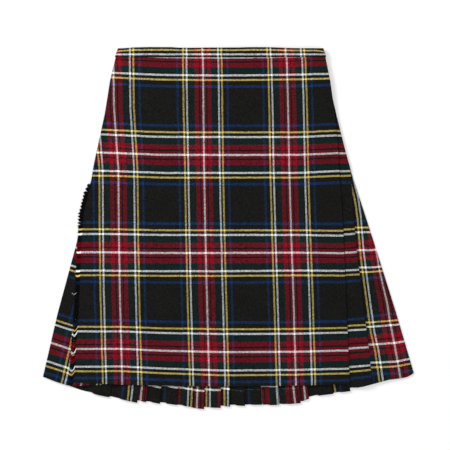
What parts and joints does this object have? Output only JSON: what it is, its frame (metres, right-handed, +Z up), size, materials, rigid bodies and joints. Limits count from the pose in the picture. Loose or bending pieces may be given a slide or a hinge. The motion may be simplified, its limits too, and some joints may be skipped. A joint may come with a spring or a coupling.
{
  "type": "kilt",
  "caption": "Tartan kilt laid flat, face up: over apron with a fringed edge, under apron, front pleats, and a back of knife pleats fanning out below a turned waistband.",
  "frame": {"origin": "centre of the bounding box in X and Y, on the surface that the kilt lies on", "axes": "+X across the garment towards the side with the front pleats, +Y from the hem towards the waist, +Z up from the surface, through the layers"},
  "size_m": [0.672, 0.651, 0.0119],
  "materials": {
    "over_apron": "woven wool twill, tartan check on a black ground",
    "under_apron": "woven wool twill, tartan check on a black ground",
    "front_pleats": "woven wool twill, tartan check on a black ground",
    "pleated_back": "woven wool twill, tartan check on a black ground, with the hem turned up inside",
    "waistband_front": "woven wool twill band, stitched along its lower edge",
    "waistband_back": "woven wool twill band, stitched along its lower edge",
    "apron_fringe": "loose drawn wool threads"
  },
  "bodies": {
    "root": {"over_apron": "over_apron", "under_apron": "under_apron", "front_pleats": "front_pleats", "pleated_back": "pleated_back", "waistband_front": "waistband_front", "waistband_back": "waistband_back", "apron_fringe": "apron_fringe"}
  },
  "joints": []
}
